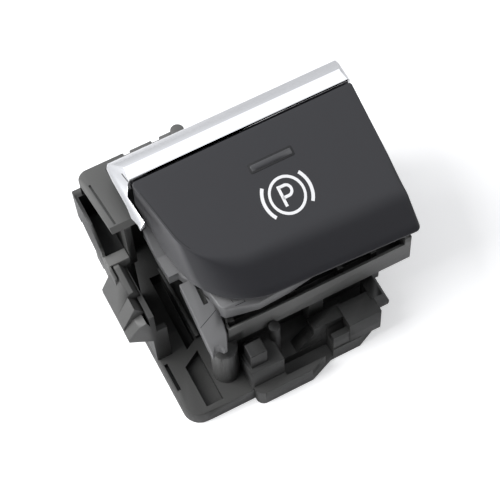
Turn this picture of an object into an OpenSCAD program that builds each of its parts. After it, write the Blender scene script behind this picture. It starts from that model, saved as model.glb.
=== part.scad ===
// Electric parking brake switch, millimetres, +Z up, +Y to the back, X along the key
// The base plate stands on Z 0, X 0 is the middle of the key

/* [View] */
// piece to build, or all

/* [Key] */
// width of the key and of the bright strip
key_w = 46; // [40:0.5:52]
// Y of the key's back edge
key_back_y = 11.8; // [10:0.1:14]
// Z of the key's top at its back edge
key_back_z = 41; // [38:0.1:44]
// slope of the key's top down to the front, degrees
key_slope = 20; // [12:1:26]
// Y of the crease between the top and the turned-down front
crease_y = -9.4; // [-12:0.1:-7]
// Y of the front lip
lip_y = -15; // [-17:0.1:-13]
// Z of the edge of the front lip
lip_z = 28.2; // [26:0.1:30]
// Z of the key's lower edge at the front
key_low_z = 27.2; // [26:0.1:28]
// Z of the key's lower edge at the back
key_rear_z = 33; // [31:0.1:35]
// wall of the key
key_wall = 1.6; // [1.2:0.1:2.4]
// gap between the key and the pieces fixed to it
fit_gap = 0.1; // [0.05:0.05:0.3]

/* [Bright trim] */
// Y of the strip's back edge
trim_back_y = 18; // [16:0.1:20]
// Y of the strip's front edge
trim_front_y = 12.2; // [11.9:0.1:13]
// Z of the strip's back edge
trim_back_z = 40; // [38:0.1:42]
// Z of the strip's ridge
trim_ridge_z = 41.7; // [40:0.1:43]
// Z of the strip's underside
trim_low_z = 38.4; // [37:0.1:39.5]
// Y of the wing's front end
wing_y = 4; // [2:0.1:7]
// depth of the wing below the key's top
wing_d = 2.4; // [1.5:0.1:4]

/* [Hinge] */
// Y of the hinge line
hinge_y = 6; // [4:0.1:8]
// Z of the hinge line
hinge_z = 21; // [19:0.1:23]
// radius of the hinge pins
pin_r = 1.5; // [1:0.05:2]
// running gap between pin and carrier, on the radius
pin_gap = 0.06; // [0.01:0.01:0.1]
// distance of the push plunger in front of the hinge line
push_arm = 9; // [7:0.1:11]
// distance of the pull plunger behind the hinge line
pull_arm = 8.5; // [7:0.1:11]
// radius of the drive pegs in the plungers
peg_r = 1; // [0.8:0.05:1.3]
// gap round a drive peg in its plunger
peg_gap = 0.06; // [0.02:0.01:0.1]

/* [Housing] */
// left end of the inner box
box_x0 = -15.2; // [-17:0.1:-14]
// right end of the inner box
box_x1 = 17; // [15:0.1:19]
// front of the inner box
box_y0 = -9; // [-10:0.1:-8]
// back of the housing
box_y1 = 21; // [19:0.1:23]
// wall of the inner box
box_wall = 1.5; // [1.2:0.1:2]
// top of the inner box
box_top = 20.5; // [19:0.1:22]
// how far the frame's right side stays inside the key's
frame_in = 0.4; // [0:0.1:2]
// front of the beam
beam_y = -12.4; // [-14:0.1:-11]
// top of the beam
beam_top = 20; // [18:0.1:21]
// height of the beam
beam_h = 6; // [4:0.1:8]
// top of the tower and the rear wall
tower_top = 36.2; // [32:0.1:36.4]
// gap between the tower and the bright trim
tower_gap = 0.4; // [0.3:0.1:1.5]
// width of the tower
tower_w = 4.4; // [3.5:0.1:6]
// front of the tower
tower_y0 = 7.2; // [5:0.1:9]
// how far the snap wedge stands out from the left wall
snap_out = 4.5; // [3:0.1:5.5]

/* [Base] */
// how far the panel spring's foot reaches in from the frame's right side
spring_foot = 2; // [1.6:0.1:3]
// how far the base plate's left side stays inside the tower's
base_in = 1; // [0.5:0.1:2]
// front of the base plate
base_y0 = -18.6; // [-20:0.1:-17]
// thickness of the base plate
base_t = 4; // [3:0.1:5]
// radius of its front left corner
base_r = 3.4; // [2:0.1:5]
// front of the trough at the bottom
trough_y = -20.6; // [-22:0.1:-19]

/* [Board] */
// underside of the circuit board
board_z = 10.4; // [9:0.1:12]
// thickness of the circuit board
board_t = 1.6; // [1:0.1:2]
// length of the socket along X
socket_w = 20; // [16:0.1:24]
// width of the socket along Y
socket_d = 7.6; // [6:0.1:9]
// Y of the middle of the socket
socket_y = 6; // [4:0.1:8]
// wall of the socket
socket_wall = 1.3; // [1:0.1:2]

/* [Hidden] */
$fn = 48;
e = 0.05;
key_x0 = -key_w / 2;
key_x1 = key_w / 2;
tan_s = tan(key_slope);
frame_x1 = key_x1 - frame_in;
wing_out = 0.7;
tower_x1 = key_x0 - wing_out - tower_gap;
tower_x0 = tower_x1 - tower_w;
base_x0 = tower_x0 + base_in;
board_top = board_z + board_t;
mat_t = 0.8;
dome_h = 2.2;
foot_z = board_top + mat_t + dome_h + 0.15;
deck_z0 = 16.9;
deck_z1 = 18.2;
push_y = hinge_y - push_arm;
pull_y = hinge_y + pull_arm;
plunger_x = -8;
plunger_w = 3.2;
plunger_d = 4.4;
guide_gap = 0.1;
ear_t = 2.6;
ear_x0 = box_x0 + box_wall + 0.3;
ear_x1 = box_x1 - box_wall - 0.3;
lens_x0 = -0.9;
lens_x1 = 7.3;
lens_y0 = 4.9;
lens_y1 = 6.1;
lens_z = top_z(lens_y0) - 2;
sign_x = 3;
sign_y = -1;
socket_top = board_z - 1;
pin_row = 2.5;
screw_r = 1;
post_y = key_back_y - key_wall - fit_gap;
post_z = key_rear_z - 0.4;
trim_lug_x = 14.5;
trim_lug_y = 14;

// height of the key's top at a given Y
function top_z(y) = key_back_z - (key_back_y - y) * tan_s;

// height of the carrier's posts, just under the key's wall
function under_z(y) = top_z(y) - key_wall * 1.05 - fit_gap;

// box from its two corners
module box(a, b) {
    translate(a)
        cube(b - a);
}

// rod along X
module rod_x(x0, x1, y, z, r) {
    translate([x0, y, z])
        rotate([0, 90, 0])
            cylinder(h = x1 - x0, r = r);
}

// bar along X with an outline drawn in Y and Z
module bar_x(x0, x1, outline) {
    translate([x0, 0, 0])
        rotate([90, 0, 90])
            linear_extrude(x1 - x0)
                polygon(outline);
}

// bar along Y with an outline drawn in X and Z
module bar_y(y0, y1, outline) {
    translate([0, y1, 0])
        rotate([90, 0, 0])
            linear_extrude(y1 - y0)
                polygon(outline);
}

// outline of the key seen from above: straight back and right, slanting left, curved front left
module key_plan(front, corner, d) {
    left = key_x0 + 1.7 + d;
    hull() {
        translate([left, key_back_y - d - 1])
            square([key_w - 1.7 - 2 * d, 1]);
        translate([key_x1 - 1 - d, front + d])
            square([1, 1]);
        intersection() {
            translate([left + 1.7 + corner, front + d + corner + 1.2])
                circle(r = corner, $fn = 96);
            translate([left + 1.6, front + d])
                square([corner * 1.2, corner * 1.2]);
        }
    }
}

// the solid of the key, inset by d
module key_solid(d) {
    hull() {
        multmatrix([[1, 0, 0, 0], [0, 1, 0, 0], [0, tan_s, 1, top_z(0) - d * 1.05 - 0.1], [0, 0, 0, 1]])
            linear_extrude(0.1)
                key_plan(crease_y + 0.6, 12, d + 0.5);
        multmatrix([[1, 0, 0, 0], [0, 1, 0, 0], [0, tan_s, 1, top_z(0) - d * 1.05 - 0.75], [0, 0, 0, 1]])
            linear_extrude(0.1)
                key_plan(crease_y - 0.1, 12.4, d);
        translate([0, 0, lip_z - 0.1])
            linear_extrude(0.1)
                intersection() {
                    key_plan(lip_y, 14.3, d);
                    translate([-40, -40])
                        square([80, 43]);
                }
        translate([0, 0, key_low_z])
            linear_extrude(0.1)
                intersection() {
                    key_plan(lip_y + 0.5, 14.3, d);
                    translate([-40, -40])
                        square([80, 43]);
                }
        box([key_x0 + 1.7 + d, key_back_y - d - 0.5, key_rear_z],
            [key_x1 - d, key_back_y - d, key_rear_z + 1]);
    }
}

module key_cap() {
    color("#2b2b2f")
        difference() {
            key_solid(0);
            translate([0, 0, -0.01])
                key_solid(key_wall);
            // open underside
            bar_x(key_x0 + 1.9 + key_wall + 1.2, key_x1 - key_wall - 0.1,
                [[-1, key_low_z - 1], [key_back_y + 1, key_low_z - 1],
                 [key_back_y + 1, post_z + fit_gap], [post_y - 0.5, post_z + fit_gap],
                 [post_y - 0.6, key_rear_z + 2], [-1, key_low_z + 2]]);
            // window for the bar lens
            box([lens_x0 - fit_gap, lens_y0 - fit_gap, 25], [lens_x1 + fit_gap, lens_y1 + fit_gap, 50]);
        }
}

// outline of the wing seen from above: it runs forward beside the key
module wing_plan() {
    translate([key_x0, 0])
        polygon([[0, trim_back_y], [-0.45, 17.4], [-0.55, 14.9], [-0.52, trim_front_y], [-0.5, 8.9],
            [-wing_out, 6.9], [-0.3, 5.2], [-0.3, wing_y], [0.8, wing_y + 0.4], [0.35, 10.5],
            [0.85, 11.2], [1.4, key_back_y + 0.3], [3, trim_front_y + 1], [3, trim_back_y]]);
}

module chrome_trim() {
    color("#e4e5e8") {
        // strip along the back of the key and wing beside it, cut by one slanting facet on the left
        difference() {
            union() {
                bar_x(key_x0, key_x1,
                    [[trim_back_y, trim_low_z], [trim_back_y, trim_back_z],
                     [trim_back_y - 0.35, trim_back_z + 0.35], [14.9, trim_ridge_z],
                     [14.3, trim_ridge_z + 0.03], [12.5, 41.35], [trim_front_y, 41.05],
                     [trim_front_y, trim_low_z]]);
                intersection() {
                    linear_extrude(60)
                        wing_plan();
                    bar_x(key_x0 - 2, key_x0 + 2,
                        [[trim_back_y - 0.1, trim_low_z + 0.1], [trim_back_y - 0.1, trim_back_z - 0.2],
                         [trim_front_y + 0.4, 41.2], [wing_y - 1, 41.2],
                         [wing_y - 1, top_z(wing_y) - 0.4], [12, top_z(12) - wing_d]]);
                }
            }
            // facet that looks up and to the left
            translate([key_x0 + 1.6, trim_front_y, 41.05])
                multmatrix([[1, 0, 0, 0], [0, 1, 0, 0], [1, 0.095, 1, 0], [0, 0, 0, 1]])
                    translate([-20, -20, 0])
                        cube([40, 40, 20]);
            // bevel at the right end
            translate([key_x1, 0, trim_ridge_z + 0.2])
                rotate([0, 45, 0])
                    cube([1.4, 60, 1.4], center = true);
        }
        // lugs that hold the strip in the carrier
        for (x = [-trim_lug_x, trim_lug_x])
            box([x - 1.5, trim_lug_y - 0.8, post_z - 1.4], [x + 1.5, trim_lug_y + 0.8, trim_low_z + e]);
    }
}

module indicator_lens() {
    color("#5c5c60")
        bar_x(lens_x0, lens_x1,
            [[lens_y0, lens_z], [lens_y1, lens_z], [lens_y1, top_z(lens_y1) - 0.05],
             [lens_y0, top_z(lens_y0) - 0.05]]);
}

// outline of the carrier's plate seen from above
module carrier_plan() {
    polygon([[key_x0 + 2.1, post_y], [key_x0 + 2, 8.3], [key_x0 + 1.2, 8.3], [key_x0 + 1.7, -0.8],
        [key_x0 + 3.6, -0.8], [-18.6, -2.6], [-17, -5], [-16.4, -6.3], [-15.9, lip_y + 4.6],
        [-15.2, lip_y + 3.7], [-9, lip_y + 2.5], [-3, lip_y + 2.8], [4, lip_y + 3.8],
        [key_x1 - 2, lip_y + 3.8], [key_x1 - 2, post_y]]);
}

module key_carrier() {
    difference() {
        color("#76767a")
            union() {
                // plate under the key, sloping with it
                intersection() {
                    linear_extrude(60)
                        carrier_plan();
                    bar_x(-30, 30,
                        [[post_y, key_rear_z - 1.4], [post_y, 28.6], [3.4, 24.4], [-12.5, 22.5],
                         [-12.5, 25.2], [-11, key_low_z - 0.6], [-0.8, key_low_z - 0.6],
                         [3.4, key_low_z - 0.2]]);
                }
                // front cheek at the left
                intersection() {
                    translate([0, 0, 10])
                        linear_extrude(20)
                            polygon([[-20.2, -2.8], [-20.1, -15.2], [-19.1, -14.1], [-18.3, -14.1],
                                [-17.8, -14.9], [-17, -14.8], [-16.1, -13], [-15.8, -11.3], [-15.9, -8],
                                [-17.2, -5.4], [-18.2, -2.8]]);
                    bar_x(-21, -15,
                        [[-2.8, 26], [-2.8, 23.6], [-13, 16.8], [-15.2, 16.8], [-15.2, 19], [-13, 20.3]]);
                }
                // post that joins plate and trim at the back
                box([-17, post_y - 0.4, 29.6], [key_x1 - 4, 12, post_z]);
                for (x = [-trim_lug_x, trim_lug_x])
                    box([x - 2.5, post_y + 0.3, post_z - 2.2], [x + 2.5, trim_lug_y + 2, post_z - 0.05]);
                // posts up into the key
                for (x = [-17.2, key_x1 - 7])
                    bar_x(x, x + 3,
                        [[4, 26], [9.4, 29], [9.4, under_z(9.4)], [4, under_z(4)]]);
                box([-10, -5.5, 24.6], [-6, -4, 31.4]);
                bar_x(key_x1 - 9, key_x1 - 4,
                    [[-6.5, 24.6], [-5, 24.6], [-5, under_z(-5)], [-6.5, under_z(-6.5)]]);
                // hinge ears
                for (x = [ear_x0, ear_x1 - ear_t]) {
                    bar_x(x, x + ear_t,
                        [[hinge_y - 3.4, hinge_z], [hinge_y + 3.4, hinge_z], [hinge_y + 3.6, 29.6],
                         [hinge_y - 5.4, 26.4]]);
                    rod_x(x, x + ear_t, hinge_y, hinge_z, 3.4);
                }
                // arms with the drive pegs
                bar_x(plunger_x + 2, plunger_x + 4,
                    [[push_y - 1.6, hinge_z - 1.2], [push_y + 1.6, hinge_z - 1.2], [push_y + 2, 26.4],
                     [push_y - 2, 25.2]]);
                rod_x(plunger_x - plunger_w / 2, plunger_x + 2 + e, push_y, hinge_z, peg_r);
                bar_x(plunger_x + 2, plunger_x + 4,
                    [[pull_y - 1.6, hinge_z - 1.2], [pull_y + 1.6, hinge_z - 1.2],
                     [pull_y + 1.6, post_z - 0.1], [post_y - 0.6, post_z - 0.1], [post_y - 0.6, 29],
                     [pull_y - 2, 28.6]]);
                rod_x(plunger_x - plunger_w / 2, plunger_x + 2 + e, pull_y, hinge_z, peg_r);
            }
        // bores of the ears
        rod_x(box_x0, box_x1, hinge_y, hinge_z, pin_r + pin_gap);
        // sockets for the trim's lugs
        for (x = [-trim_lug_x, trim_lug_x])
            box([x - 1.5 - fit_gap, trim_lug_y - 0.8 - fit_gap, post_z - 1.5],
                [x + 1.5 + fit_gap, trim_lug_y + 0.8 + fit_gap, post_z + 1]);
        // passages for the two light guides
        box([lens_x0 - fit_gap, lens_y0 - fit_gap, 20], [lens_x1 + fit_gap, lens_y1 + fit_gap, 50]);
        box([sign_x - 4.1, sign_y - 3.1, 20], [sign_x + 4.1, sign_y + 3.1, 50]);
    }
}

module housing() {
    color("#35353a")
        difference() {
            union() {
                // inner box
                difference() {
                    box([box_x0, box_y0, base_t], [box_x1, box_y1, box_top]);
                    box([box_x0 + box_wall, box_y0 + box_wall, base_t - 1],
                        [box_x1 - box_wall, box_y1 - box_wall, box_top + 1]);
                }
                // deck that guides the plungers
                difference() {
                    box([box_x0 + e, box_y0 + e, deck_z0], [-4.4, box_y1 - e, deck_z1]);
                    box([box_x0 + box_wall, hinge_y - 4.2, deck_z0 - 1],
                        [ear_x0 + ear_t + 0.4, hinge_y + 4.2, deck_z1 + 1]);
                }
                // bosses for the hinge pins
                for (x = [box_x0, box_x1 - box_wall]) {
                    rod_x(x, x + box_wall, hinge_y, hinge_z, 3.4);
                    box([x, hinge_y - 3.4, box_top - 1], [x + box_wall, hinge_y + 3.4, hinge_z]);
                }
                // rear wall with its notches, and the round peg on it
                box([tower_x0 + 1.9, box_y1 - 1.5, base_t], [-18.9, box_y1, tower_top]);
                box([-19, box_y1 - 1.5, base_t], [-7.6, box_y1, tower_top - 0.8]);
                box([-17.7, box_y1 - 1.5, 30], [-13.3, box_y1, tower_top]);
                box([-11.8, box_y1 - 1.5, 30], [-7.6, box_y1, tower_top]);
                translate([-8.3, box_y1 - 0.75, 30])
                    cylinder(h = 6.9, r = 1.3);
                box([-8, box_y1 - 1.5, box_top - 1], [frame_x1, box_y1, 29]);
                // right wall, front beam and the shelf between the wall and the box
                box([frame_x1 - 1.4, beam_y, beam_top - beam_h], [frame_x1, box_y1, beam_top + 2]);
                box([-15.5, beam_y, beam_top - beam_h], [frame_x1, beam_y + 1.6, beam_top]);
                box([box_x1 - e, beam_y, beam_top - beam_h], [frame_x1, box_y1, beam_top - beam_h + 1.5]);
                box([-15.5, beam_y, beam_top - beam_h], [box_x1, box_y0 + e, beam_top - beam_h + 1.5]);
                box([-8, box_y1 - 1.5, beam_top - beam_h], [frame_x1, box_y1, box_top]);
                // ribs behind the beam
                for (x = [-14.6, -2, 8, 15])
                    box([x, beam_y + 1, beam_top - beam_h], [x + 1.2, box_y0 + e, box_top - 1.4]);
                // tower at the back left: a top plate with a rim, open below it on the left
                difference() {
                    intersection() {
                        union() {
                            box([tower_x0, tower_y0, 22], [tower_x1, box_y1, tower_top - e]);
                            box([tower_x0, tower_y0, tower_top - 0.9], [key_x0, box_y1, tower_top]);
                        }
                        linear_extrude(60)
                            tower_plan();
                    }
                    box([tower_x0 - 1, tower_y0 - 1, 23.2],
                        [tower_x1 - 1.3, box_y1 - 1.5, tower_top - 0.9]);
                    translate([0, 0, tower_top - 0.4])
                        linear_extrude(2)
                            polygon([[tower_x0 + 1.2, box_y1 - 3.2], [tower_x0 + 1.6, box_y1 - 3.2],
                                [tower_x0 + 2.3, tower_y0 + 1.2], [tower_x0 + 1.9, tower_y0 + 1.2]]);
                    translate([0, tower_y0, tower_top])
                        rotate([45, 0, 0])
                            cube([80, 1.3, 1.3], center = true);
                }
                // thin outer wall left of the tower, its floor and the small block in front
                bar_x(tower_x0 - 1.4, tower_x0 - 0.8,
                    [[box_y1 - 1.6, 31.4], [box_y1 - 1.6, 24], [17, 22.5], [11, 20], [6, 17], [6, 12],
                     [4, 12], [4, 25.2], [9.2, 25.2], [9.2, 27], [13, 31.4]]);
                box([tower_x0 - 1.4, box_y1 - 1.7, 22.5], [tower_x0 + 2.2, box_y1, 31.4]);
                box([tower_x0 - 0.9, tower_y0 + 1.8, 22], [tower_x1, box_y1 - 0.1, 23.3]);
                box([tower_x0 - 1.2, 6.9, 22], [tower_x0 + 3, tower_y0 + 2, 25.4]);
                // left wall down to the base, and its foot
                box([base_x0, -4.6, base_t], [base_x0 + 1, 10, 22.4]);
                box([base_x0, -4.6, base_t], [base_x0 + 3.1, -3.4, 16]);
                box([base_x0, 8.6, base_t], [base_x0 + 3.1, 10, 22.8]);
                // snap wedge: the long catch, its stepped front part and the low nose
                bar_y(0.4, 6.9,
                    [[base_x0 + 1, 22], [base_x0 - 0.4, 24.9], [base_x0 - 1.4, 24.9],
                     [base_x0 - snap_out, 18.4], [base_x0 - snap_out, 17.2], [base_x0 + 0.1, 14.6]]);
                bar_y(-2.4, 0.5,
                    [[base_x0 + 0.9, 20], [base_x0 - 1.7, 24], [base_x0 - snap_out, 18.4],
                     [base_x0 - snap_out, 17.2], [base_x0 + 0.2, 14.7]]);
                bar_y(-4.6, -2.3,
                    [[base_x0 + 0.8, 17], [base_x0 - 0.6, 21], [base_x0 - 2.2, 20.6],
                     [base_x0 - snap_out, 17.6], [base_x0 - snap_out, 16.8], [base_x0 + 0.3, 12.6]]);
                // left side tie at the back between tower and inner box
                box([tower_x0 + 0.2, box_y1 - 3, base_t], [-22, box_y1, 23]);
                // corner pillar at the front left, rounded on its left
                hull() {
                    translate([-16.9, -12.6, base_t])
                        cylinder(h = 10.9, r = 2.6);
                    box([-17.6, -11.6, base_t], [-14.6, box_y0 + 1, base_t + 10.9]);
                }
                // small posts seen in the shadow under the beam
                box([-13.7, -12.2, base_t], [-12.9, box_y0 + e, 15]);
                box([1.3, -11.8, base_t], [4.4, box_y0 + e, 12.6]);
                box([box_x1 - e, -9, base_t], [box_x1 + 1.2, -1, beam_top - beam_h + e]);
            }
            // bores for the hinge pins
            rod_x(box_x0 - 1, box_x1 + 1, hinge_y, hinge_z, pin_r);
            // guides for the plungers
            for (y = [push_y, pull_y])
                box([plunger_x - plunger_w / 2 - guide_gap, y - plunger_d / 2 - guide_gap, deck_z0 - 1],
                    [plunger_x + plunger_w / 2 + guide_gap, y + plunger_d / 2 + guide_gap, deck_z1 + 1]);
            // slot for the panel spring in the right wall
            box([frame_x1 - 2, 4, beam_top - 0.6], [frame_x1 + 1, 10, beam_top + 0.8]);
        }
}

module base_cover() {
    color("#3a3a3e")
        difference() {
            union() {
                // plate
                linear_extrude(base_t)
                    hull() {
                        translate([base_x0 + base_r, base_y0 + base_r])
                            circle(r = base_r);
                        translate([base_x0, box_y1 - 3])
                            square([3, 3]);
                        translate([8.2, base_y0])
                            square([0.6, 1]);
                        translate([11, -17.1])
                            square([1.1, 1]);
                        translate([14, -14.8])
                            square([1, 1]);
                        translate([16.2, box_y1 - 1])
                            square([2, 1]);
                        translate([16.2, -12])
                            square([1.2, 1]);
                    }
                // plate behind the step on the right
                box([17, 0, 0], [frame_x1, box_y1, base_t]);
                // rib beside the slot
                box([-19.1, -3.9, base_t - e], [-18.3, 12.7, base_t + 1]);
                // bulging wall of the trough
                linear_extrude(4.8)
                    hull() {
                        translate([-12.4, trough_y + 1.6])
                            circle(r = 1.6);
                        translate([-3.6, trough_y])
                            square([1, 2]);
                        translate([2.4, -18.2])
                            square([1, 2]);
                        translate([-14, -18])
                            square([1, 2]);
                    }
                // left and right clip blocks
                box([-14.3, -18.5, base_t - e], [-7.5, -13.4, 11]);
                box([6.4, -18.5, base_t - e], [13.2, -13.6, 11]);
                // step on the left block, and a small knob
                box([-13.7, -17.4, 11 - e], [-10.3, -14.4, 15.6]);
                translate([-6.9, -13.6, base_t - e])
                    cylinder(h = 11.6, r = 1.1);
                // trapezoid guide and its bar
                bar_y(-15.6, -13,
                    [[-3.5, base_t - e], [0.2, 8], [7, 8], [7, base_t - e]]);
                box([0.2, -15.8, 8 - e], [7, -13, 10.5]);
                // bright gusset
                bar_x(2, 6.4,
                    [[-15.7, 8.4], [-17.6, 5.6], [-17.6, base_t - e], [-15.4, base_t - e]]);
                // right bracket
                box([3, -18.4, base_t - e], [6.5, -17.2, 8.6]);
                // far right clip block
                bar_y(-15.5, -11,
                    [[12.7, base_t + 1.2], [12.7, 11.2], [15.2, 11], [16.8, 6.4], [16.6, base_t + 1.2]]);
                box([12.7, -13.8, base_t - e], [15.4, -11, base_t + 2]);
                // raised border that centres the housing
                difference() {
                    box([box_x0 + box_wall + 0.15, box_y0 + box_wall + 0.15, base_t - e],
                        [box_x1 - box_wall - 0.15, box_y1 - box_wall - 0.15, base_t + 2]);
                    box([box_x0 + box_wall + 1.4, box_y0 + box_wall + 1.4, base_t - 1],
                        [box_x1 - box_wall - 1.4, box_y1 - box_wall - 1.4, base_t + 3]);
                }
                // socket walls and roof
                box([-socket_w / 2 - socket_wall, socket_y - socket_d / 2 - socket_wall, base_t - e],
                    [socket_w / 2 + socket_wall, socket_y + socket_d / 2 + socket_wall, socket_top]);
                // pillars for the board
                for (p = [[-11.4, 16.6], [13.2, -5]])
                    translate([p[0], p[1], base_t - e])
                        cylinder(h = board_z - base_t + e, r = 2);
            }
            // pocket at the front left
            translate([0, 0, base_t - 2])
                linear_extrude(5)
                    polygon([[-23.5, -17.4], [-20, -17.4], [-19.9, -6.2], [-23.5, -8.3]]);
            // slit near the left edge
            box([-26.9, -12, base_t - 1.5], [-26.2, -6, base_t + 1]);
            // blind slot along the rib
            translate([0, 0, 0.8])
                linear_extrude(8)
                    polygon([[-21.5, -3.4], [-21.6, -5.2], [-19.3, -3.9], [-19.1, 12], [-21.3, 12]]);
            // hollow of the trough
            box([-7.4, trough_y + 1.4, 1.4], [2.9, -15.7, 12]);
            // plug socket, open at the bottom
            box([-socket_w / 2, socket_y - socket_d / 2, -1],
                [socket_w / 2, socket_y + socket_d / 2, socket_top - 1.4]);
            // holes for the connector pins
            connector_pin_grid()
                box([-0.32, -0.32, 4], [0.32, 0.32, 12]);
            // bores of the board screws
            for (p = [[-11.4, 16.6], [13.2, -5]])
                translate([p[0], p[1], 3])
                    cylinder(h = 9, r = screw_r, $fn = 24);
        }
}

// outline of the tower seen from above, rounded at the back left, its plate ends under the wing
module tower_plan() {
    hull() {
        translate([tower_x0 + 2, box_y1 - 2])
            circle(r = 2);
        translate([tower_x0 + 0.9, tower_y0])
            square([1, 1]);
        translate([key_x0 - 1.1, tower_y0])
            square([1, 1]);
        translate([key_x0 - 1.1, box_y1 - 1])
            square([1, 1]);
    }
}

// the eight pin positions
module connector_pin_grid() {
    for (i = [0:3])
        for (j = [-1, 1])
            translate([(i - 1.5) * 5, socket_y + j * pin_row, 0])
                children();
}

module hinge_pins() {
    color("#b9bcc0") {
        rod_x(box_x0, ear_x0 + ear_t + 0.6, hinge_y, hinge_z, pin_r);
        rod_x(ear_x1 - ear_t - 4.6, box_x1, hinge_y, hinge_z, pin_r);
    }
}

module return_spring() {
    color("#a8abb0") {
        // close-wound coil round the right pin
        for (i = [0:4])
            translate([ear_x1 - ear_t - 3.5 + i * 0.62, hinge_y, hinge_z])
                rotate([0, 90, 0])
                    rotate_extrude($fn = 36)
                        translate([2.1, 0])
                            circle(r = 0.33, $fn = 14);
        // leg on the carrier and leg on the housing
        translate([ear_x1 - ear_t - 3.5, hinge_y - 2.1, hinge_z])
            cylinder(h = 3.4, r = 0.3, $fn = 16);
        translate([ear_x1 - ear_t - 1.02, hinge_y + 2.1, hinge_z])
            rotate([-90, 0, 0])
                cylinder(h = box_y1 - box_wall - hinge_y - 2.1, r = 0.3, $fn = 16);
    }
}

// plunger with a through slot for its drive peg
module plunger(y, slot_y) {
    difference() {
        union() {
            box([plunger_x - plunger_w / 2, y - plunger_d / 2, foot_z],
                [plunger_x + plunger_w / 2, y + plunger_d / 2, hinge_z + 1.7]);
            box([plunger_x - plunger_w / 2 - 0.9, y - plunger_d / 2, foot_z],
                [plunger_x + plunger_w / 2 + 0.9, y + plunger_d / 2, foot_z + 0.55]);
        }
        box([plunger_x - 5, slot_y - 0.35, hinge_z - peg_r - peg_gap],
            [plunger_x + 5, slot_y + 0.35, hinge_z + peg_r + peg_gap]);
        rod_x(plunger_x - 5, plunger_x + 5, slot_y - 0.35, hinge_z, peg_r + peg_gap);
        rod_x(plunger_x - 5, plunger_x + 5, slot_y + 0.35, hinge_z, peg_r + peg_gap);
    }
}

module pull_plunger() {
    color("#d7d8da")
        plunger(pull_y, pull_y);
}

module push_plunger() {
    color("#d7d8da")
        plunger(push_y, push_y);
}

module switch_mat() {
    color("#8f9499")
        difference() {
            union() {
                box([-12.6, -6.6, board_top], [-3.6, 18.6, board_top + mat_t]);
                for (y = [push_y, pull_y])
                    translate([plunger_x, y, board_top + mat_t - e])
                        cylinder(h = dome_h + e, r1 = 3, r2 = 1.7);
            }
            for (y = [push_y, pull_y])
                translate([plunger_x, y, board_top - 1])
                    cylinder(h = 1 + mat_t + 1.1, r1 = 2.4, r2 = 1.6);
            translate([-11.4, 16.6, board_top - 1])
                cylinder(h = 4, r = 2.3);
            box([-8.5, socket_y - pin_row - 0.6, board_top - 1],
                [-6.5, socket_y + pin_row + 0.6, board_top + 2]);
        }
}

module contact_pills() {
    color("#1d1d1f")
        for (y = [push_y, pull_y])
            translate([plunger_x, y, board_top + mat_t + 0.6])
                cylinder(h = 0.5, r = 1.3);
}

module circuit_board() {
    color("#2f6b45")
        difference() {
            box([box_x0 + box_wall + 0.2, box_y0 + box_wall + 0.2, board_z],
                [box_x1 - box_wall - 0.2, box_y1 - box_wall - 0.2, board_top]);
            connector_pin_grid()
                box([-0.32, -0.32, 4], [0.32, 0.32, 14]);
            for (p = [[-11.4, 16.6], [13.2, -5]])
                translate([p[0], p[1], 3])
                    cylinder(h = 12, r = screw_r + 0.15, $fn = 24);
        }
}

module control_chip() {
    color("#26272a") {
        box([8.6, 11.2, board_top + 0.15], [13.6, 16.2, board_top + 1.15]);
        for (i = [0:4])
            for (s = [0, 1])
                box([8 + s * 5.2, 11.6 + i, board_top], [9 + s * 5.2, 12 + i, board_top + 0.5]);
    }
}

module board_parts() {
    color("#b59a6a")
        for (p = [[10.6, -1], [10.6, 1.4], [10.6, 8.8], [13.4, 8.8], [4.6, 15.4], [4.6, 17.2],
            [0.4, 15.4], [0.4, 17.2]])
            box([p[0], p[1], board_top], [p[0] + 1.6, p[1] + 0.8, board_top + 0.7]);
}

module indicator_lamp() {
    color("#f2ead0")
        box([1.6, 4.85, board_top], [4.8, 6.15, board_top + 1]);
}

module symbol_lamp() {
    color("#f2f0e4")
        box([1.6, -1.8, board_top], [4.4, -0.2, board_top + 1]);
}

module indicator_light_guide() {
    color("#dfe6ea")
        box([lens_x0, lens_y0, board_top + 3], [lens_x1, lens_y1, lens_z]);
}

module symbol_light_guide() {
    color("#dfe6ea") {
        bar_x(sign_x - 4, sign_x + 4,
            [[sign_y - 3, hinge_z + 1.6], [sign_y + 3, hinge_z + 1.6],
             [sign_y + 3, top_z(sign_y + 3) - key_wall - 0.6],
             [sign_y - 3, top_z(sign_y - 3) - key_wall - 0.6]]);
        box([sign_x - 2, sign_y - 1.5, board_top + 3], [sign_x + 2, sign_y + 1.5, hinge_z + 1.6 + e]);
    }
}

module connector_pins() {
    color("#c9a94e")
        connector_pin_grid()
            box([-0.3, -0.3, 1.6], [0.3, 0.3, board_top + 0.8]);
}

module board_screws() {
    color("#9fa2a6")
        for (p = [[-11.4, 16.6], [13.2, -5]])
            translate([p[0], p[1], 0]) {
                translate([0, 0, board_top - 6])
                    cylinder(h = 6 + e, r = screw_r, $fn = 24);
                translate([0, 0, board_top])
                    cylinder(h = 1.1, r = 1.9, $fn = 32);
            }
}

module stop_buffers() {
    color("#1e1e20")
        for (x = [-12, 11])
            translate([x, box_y0 + 0.75, box_top])
                cylinder(h = 1.25, r = 0.7, $fn = 24);
}

module panel_spring() {
    color("#a3a6ab")
        bar_y(4.2, 9.8,
            [[frame_x1 - spring_foot, beam_top - 0.5], [frame_x1 + 0.5, beam_top - 0.5],
             [frame_x1 + 2.6, beam_top - 4], [frame_x1 + 1.2, beam_top - 7.6],
             [frame_x1 + 1.6, beam_top - 7.8], [frame_x1 + 3.1, beam_top - 4],
             [frame_x1 + 0.8, beam_top], [frame_x1 - spring_foot, beam_top]]);
}

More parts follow.
